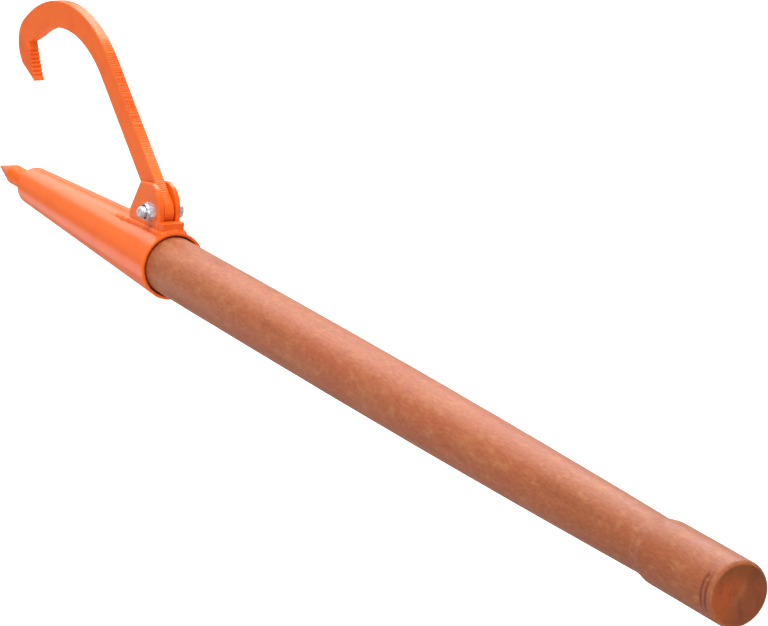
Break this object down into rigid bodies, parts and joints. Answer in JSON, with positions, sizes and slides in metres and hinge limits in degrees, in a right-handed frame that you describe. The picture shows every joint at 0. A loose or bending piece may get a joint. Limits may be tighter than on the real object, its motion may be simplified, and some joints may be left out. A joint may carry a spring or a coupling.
{
  "type": "peavey",
  "caption": "Peavey for rolling logs: a turned wooden handle in a tapered steel socket with a point and a swinging hook.",
  "frame": {"origin": "centre of the handle's flat end face, on the handle's axis", "axes": "+X along the handle, out of its end and away from the point; +Z is the side that the hook is on; +Y is the side of the bolt's head, and -Y the side of the nut"},
  "size_m": [1.219, 0.0584, 0.2067],
  "materials": {
    "handle_wood": "smooth turned hardwood under a thin clear coat",
    "painted_steel": "semi-gloss orange powder coat over steel",
    "point_steel": "ground steel point",
    "plated_steel": "bright zinc plating",
    "lock_plastic": "dark nylon"
  },
  "bodies": {
    "pole": {"handle": "handle_wood", "socket": "painted_steel", "seam_weld": "painted_steel", "spike": "point_steel", "spike_weld": "painted_steel", "ear_left": "painted_steel", "ear_right": "painted_steel", "stop_block": "painted_steel", "ear_weld_left": "painted_steel", "ear_weld_right": "painted_steel", "block_weld": "painted_steel", "pivot_bolt": "plated_steel", "nut": "plated_steel", "lock_ring": "lock_plastic"},
    "hook": {"hook": "painted_steel"}
  },
  "joints": [
    {"name": "hook_pivot", "type": "hinge", "parent": "pole", "child": "hook", "pos_m": [-0.89845, 0, 0.0422], "axis": [0, 1, 0], "range_deg": [-17, 100]}
  ]
}
